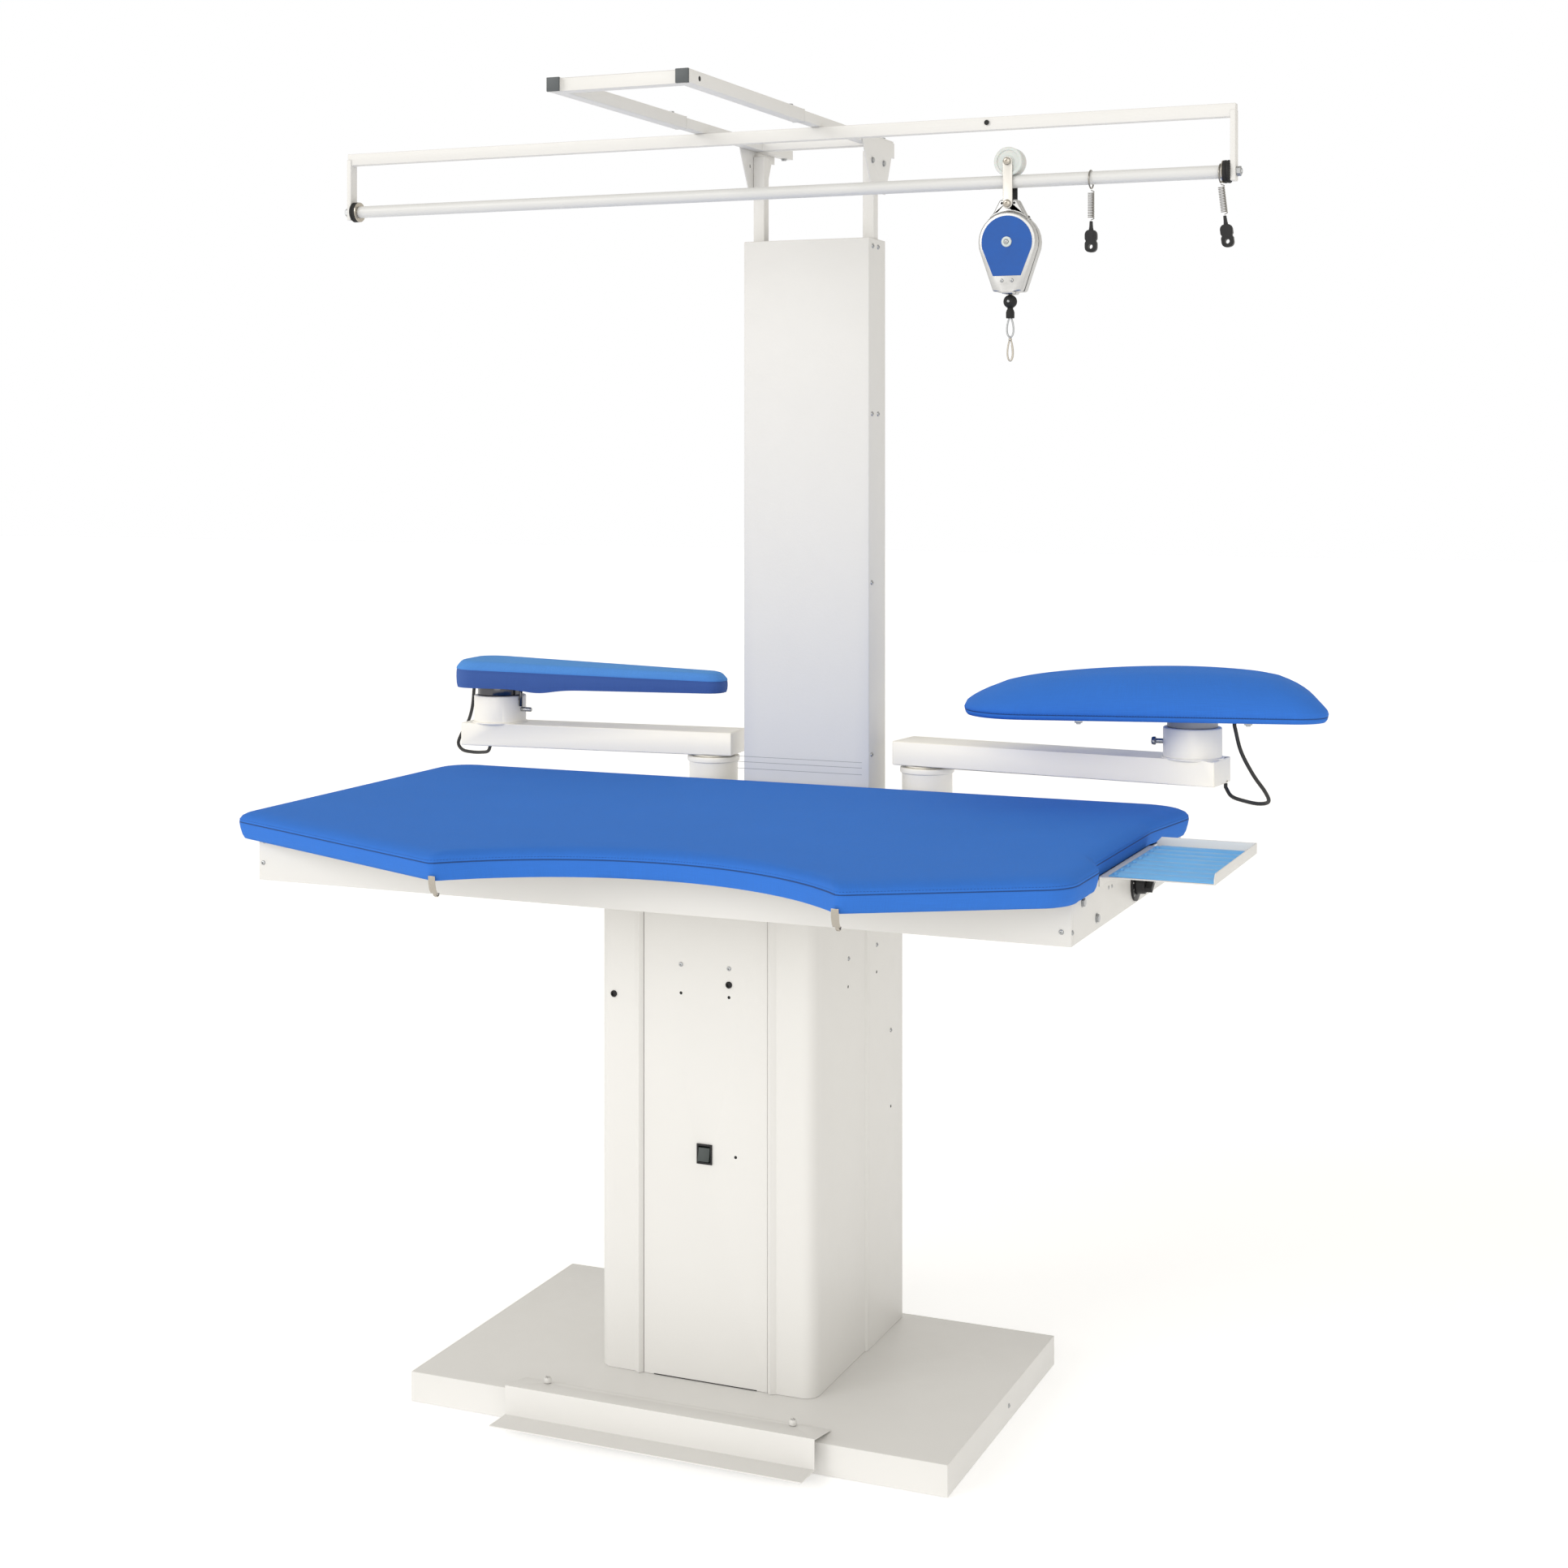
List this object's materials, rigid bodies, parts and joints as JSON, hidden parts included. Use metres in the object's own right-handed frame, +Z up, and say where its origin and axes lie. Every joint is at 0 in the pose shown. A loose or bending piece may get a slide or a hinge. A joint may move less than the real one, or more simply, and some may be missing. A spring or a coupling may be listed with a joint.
{
  "type": "vacuum ironing table",
  "caption": "Padded suction ironing table on a pedestal with foot pedal, iron tray, swinging arms with a buck and a sleeve board, and an overhead rail with a spring balancer.",
  "frame": {"origin": "centre of the base plate's outline on the floor", "axes": "+X to the iron tray's side, +Y from the pedal side to the tower, +Z up from the floor"},
  "size_m": [1.6513, 1.0323, 1.987],
  "materials": {
    "powder_coat": "off-white powder coat, fine texture",
    "blue_cloth": "woven royal blue cover cloth",
    "light_blue_cloth": "woven lighter blue cover cloth",
    "blue_silicone": "ribbed light blue silicone",
    "black_plastic": "satin black plastic",
    "grey_plastic": "dark grey plastic",
    "black_rubber": "matte black rubber",
    "white_nylon": "white nylon",
    "zinc": "zinc plated",
    "nickel": "nickel plated",
    "aluminium": "polished cast aluminium",
    "board_filling": "pressed chipboard"
  },
  "bodies": {
    "table": {"base_pan": "powder_coat", "base_filling": "board_filling", "pedestal_corner_right": "powder_coat", "pedestal_corner_left": "powder_coat", "pedestal_front_panel": "powder_coat", "pedestal_rear_cover": "powder_coat", "switch_housing": "black_plastic", "blower_housing": "powder_coat", "air_duct": "powder_coat", "suction_box": "powder_coat", "skirt_front": "powder_coat", "work_plate": "aluminium", "thermostat_body": "black_plastic", "table_pad": "blue_cloth", "cover_clip_left": "nickel", "cover_clip_right": "nickel", "iron_tray": "powder_coat", "tray_mat": "blue_silicone", "tower_box": "powder_coat", "pivot_socket_left": "powder_coat", "pivot_socket_right": "powder_coat"},
    "pedal": {"foot_pedal": "powder_coat"},
    "rocker": {"rocker_switch": "grey_plastic"},
    "impeller": {"blower_impeller": "grey_plastic"},
    "knob": {"thermostat_knob": "black_plastic"},
    "mast": {"post_left": "powder_coat", "post_right": "powder_coat", "gusset_left": "powder_coat", "gusset_right": "powder_coat", "rear_frame": "powder_coat", "rail_bar": "powder_coat", "rail_rod": "powder_coat", "rail_buffer_left": "black_rubber", "rail_buffer_right": "black_rubber"},
    "light_frame": {"front_frame": "powder_coat", "frame_cap_left": "grey_plastic", "frame_cap_right": "grey_plastic"},
    "trolley": {"trolley_straps": "nickel"},
    "trolley_wheel": {"trolley_wheel": "white_nylon"},
    "balancer": {"balancer_front": "aluminium", "balancer_back": "aluminium"},
    "balancer_hook": {"ball_stop": "black_rubber", "balancer_wire": "zinc"},
    "snap_hook": {"snap_hook": "nickel"},
    "hose_ring_inner": {"hook_ring_inner": "nickel"},
    "hose_hanger_inner": {"hook_spring_inner": "zinc", "hose_clip_inner": "black_plastic"},
    "hose_ring_outer": {"hook_ring_outer": "nickel"},
    "hose_hanger_outer": {"hook_spring_outer": "zinc", "hose_clip_outer": "black_plastic"},
    "arm_right": {"arm_right": "powder_coat", "cable_right": "black_rubber"},
    "arm_left": {"arm_left": "powder_coat", "cable_left": "black_rubber"},
    "clamp_right": {"clamp_screw_right": "zinc"},
    "clamp_left": {"clamp_screw_left": "zinc"},
    "buck": {"spigot_right": "nickel", "buck_pad": "blue_cloth"},
    "sleeve_board": {"spigot_left": "nickel", "sleeve_pad": "light_blue_cloth"}
  },
  "joints": [
    {"name": "pedal_press", "type": "hinge", "parent": "table", "child": "pedal", "pos_m": [0, -0.2195, 0.0463], "axis": [1, 0, 0], "range_deg": [0, 4], "stiffness_Nm_per_rad": 15, "springref_deg": -8.59},
    {"name": "rocker_tilt", "type": "hinge", "parent": "table", "child": "rocker", "pos_m": [-0.0003, -0.128, 0.3923], "axis": [1, 0, 0], "range_deg": [0, 20]},
    {"name": "impeller_spin", "type": "hinge", "parent": "table", "child": "impeller", "pos_m": [0, 0.058, 0.25], "axis": [0, 0, 1], "continuous": true},
    {"name": "knob_turn", "type": "hinge", "parent": "table", "child": "knob", "pos_m": [0.65, -0.03, 0.832], "axis": [1, 0, 0], "range_deg": [0, 270]},
    {"name": "mast_height", "type": "slide", "parent": "table", "child": "mast", "axis": [0, 0, 1], "range_m": [-0.07, 0.2]},
    {"name": "frame_reach", "type": "slide", "parent": "mast", "child": "light_frame", "axis": [0, 1, 0], "range_m": [-0.03, 0.06]},
    {"name": "trolley_roll", "type": "slide", "parent": "mast", "child": "trolley", "axis": [1, 0, 0], "range_m": [-1, 0.05]},
    {"name": "wheel_spin", "type": "hinge", "parent": "trolley", "child": "trolley_wheel", "pos_m": [0.419, 0.0754, 1.8983], "axis": [0, 1, 0], "continuous": true},
    {"name": "balancer_swing", "type": "hinge", "parent": "trolley", "child": "balancer", "pos_m": [0.419, 0.0754, 1.834], "axis": [0, 1, 0], "range_deg": [-25, 25]},
    {"name": "hook_pull", "type": "slide", "parent": "balancer", "child": "balancer_hook", "axis": [0, 0, -1], "range_m": [0, 0.45], "stiffness_N_per_m": 10, "springref_m": -0.2, "deforming": ["balancer_wire"]},
    {"name": "snap_hook_swivel", "type": "hinge", "parent": "balancer_hook", "child": "snap_hook", "pos_m": [0.419, 0.0754, 1.6299], "axis": [0, 0, 1], "continuous": true},
    {"name": "ring_inner_slide", "type": "slide", "parent": "mast", "child": "hose_ring_inner", "axis": [1, 0, 0], "range_m": [-0.03, 0.16]},
    {"name": "hanger_inner_swing", "type": "hinge", "parent": "hose_ring_inner", "child": "hose_hanger_inner", "pos_m": [0.546, 0.0754, 1.8514], "axis": [0, 1, 0], "range_deg": [-35, 35]},
    {"name": "ring_outer_slide", "type": "slide", "parent": "mast", "child": "hose_ring_outer", "axis": [1, 0, 0], "range_m": [-0.03, 0]},
    {"name": "hanger_outer_swing", "type": "hinge", "parent": "hose_ring_outer", "child": "hose_hanger_outer", "pos_m": [0.7425, 0.0754, 1.8514], "axis": [0, 1, 0], "range_deg": [-12, 20]},
    {"name": "arm_right_swing", "type": "hinge", "parent": "table", "child": "arm_right", "pos_m": [0.195, 0.331, 0.93], "axis": [0, 0, 1], "range_deg": [-80, 95]},
    {"name": "arm_left_swing", "type": "hinge", "parent": "table", "child": "arm_left", "pos_m": [-0.195, 0.331, 0.93], "axis": [0, 0, 1], "range_deg": [-95, 80]},
    {"name": "clamp_right_turn", "type": "hinge", "parent": "arm_right", "child": "clamp_right", "pos_m": [0.65292, 0.28045, 1.002], "axis": [-0.9945, -0.1045, 0], "continuous": true},
    {"name": "clamp_left_turn", "type": "hinge", "parent": "arm_left", "child": "clamp_left", "pos_m": [-0.59637, 0.29588, 1.002], "axis": [0.9962, -0.0872, 0], "continuous": true},
    {"name": "buck_turn", "type": "hinge", "parent": "arm_right", "child": "buck", "pos_m": [0.65292, 0.28045, 1.03], "axis": [0, 0, 1], "range_deg": [-90, 90]},
    {"name": "sleeve_board_turn", "type": "hinge", "parent": "arm_left", "child": "sleeve_board", "pos_m": [-0.59637, 0.29588, 1.03], "axis": [0, 0, 1], "range_deg": [-90, 90]}
  ],
  "couplings": [
    {"joint": "wheel_spin", "follows": "trolley_roll", "rad_per_m": 51.282}
  ]
}
